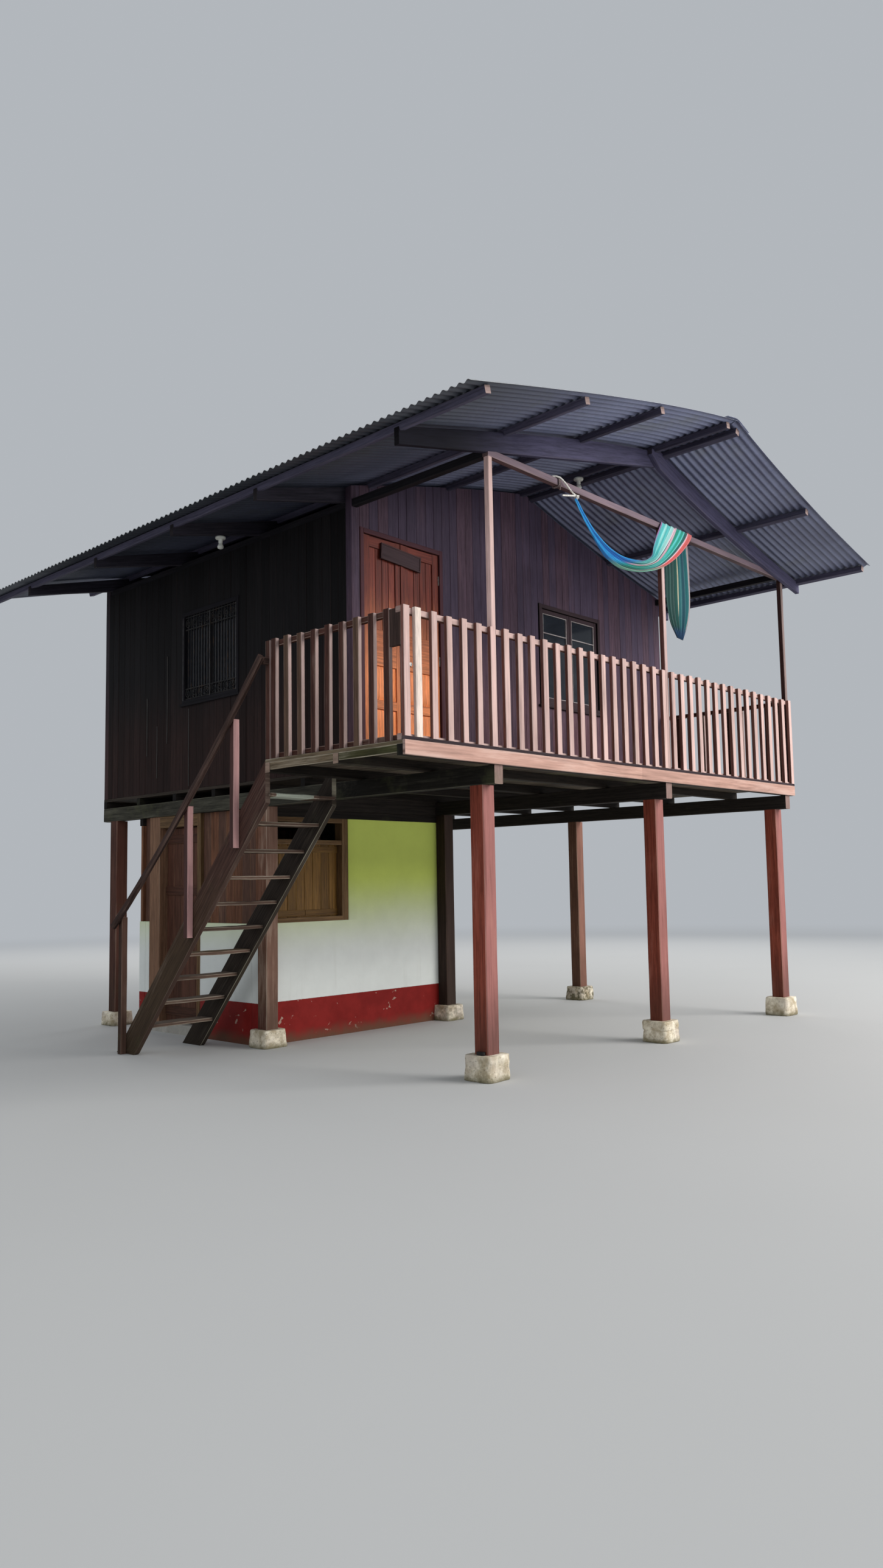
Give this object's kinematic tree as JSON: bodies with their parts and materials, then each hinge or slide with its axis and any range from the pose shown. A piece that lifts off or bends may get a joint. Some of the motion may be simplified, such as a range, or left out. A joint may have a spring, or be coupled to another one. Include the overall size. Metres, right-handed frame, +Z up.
{
  "type": "stilt house",
  "caption": "Timber house on square posts with a railed balcony, a stair at its left side, a small walled room below and a low corrugated gable roof.",
  "frame": {"origin": "middle of the roof's footprint, on the ground", "axes": "+X to the right along the balcony's front, +Y from the balcony to the back wall, +Z up"},
  "size_m": [6.7022, 7.647, 5.7281],
  "materials": {
    "stone": "rough, weathered, stained at the foot",
    "red_wood": "old red-brown paint, peeling and faded",
    "dark_wood": "unpainted, dark with age and damp",
    "pale_paint": "thin pinkish-tan paint, worn, dirty",
    "deck_boards": "bare, grey-brown, mossy at the ends",
    "wall_boards": "very dark stained upright boards",
    "varnished_wood": "orange-brown varnish, worn",
    "dark_paint": "dark paint with thin pale mouldings",
    "brown_boards": "brown upright boards, dull",
    "roof_steel": "weathered grey-green sheet, dull, rusting",
    "render": "limewashed, green above and red-banded at the foot, stained",
    "concrete": "floated, dirty",
    "hammock_cloth": "soft woven stripes, faded",
    "hammock_rope": "twisted, pale",
    "lamp_plastic": "white, a little yellowed"
  },
  "bodies": {
    "house": {"footings": "stone", "ground_posts": "red_wood", "floor_girders": "dark_wood", "floor_joists": "dark_wood", "deck_fascia": "pale_paint", "balcony_deck": "deck_boards", "upper_floor": "deck_boards", "front_wall": "wall_boards", "left_wall": "wall_boards", "right_wall": "wall_boards", "back_wall": "wall_boards", "wall_plates": "dark_wood", "front_door": "varnished_wood", "front_door_frame": "pale_paint", "door_sign": "varnished_wood", "front_window": "dark_paint", "left_window": "dark_paint", "front_railing": "pale_paint", "left_railing": "pale_paint", "right_railing": "pale_paint", "balcony_posts": "pale_paint", "tie_beam": "pale_paint", "left_rafters": "dark_wood", "right_rafters": "dark_wood", "purlins": "dark_wood", "left_roof_sheets": "roof_steel", "right_roof_sheets": "roof_steel", "ridge_cap": "roof_steel", "stair_stringers": "dark_wood", "stair_treads": "deck_boards", "stair_newels": "pale_paint", "stair_handrail": "pale_paint", "room_floor": "concrete", "room_front_wall": "render", "room_left_wall": "render", "room_right_wall": "render", "room_back_wall": "render", "room_head_boards": "dark_wood", "room_window": "varnished_wood", "room_wall_boards": "brown_boards", "room_door_frame": "brown_boards", "hammock": "hammock_cloth", "hammock_rope": "hammock_rope", "lamps": "lamp_plastic"},
    "ground_room_door": {"room_door": "brown_boards"}
  },
  "joints": [
    {"name": "room_door_hinge", "type": "hinge", "parent": "house", "child": "ground_room_door", "pos_m": [-2.0175, 1.8125, 1.1], "axis": [0, 0, 1], "range_deg": [0, 95]}
  ]
}
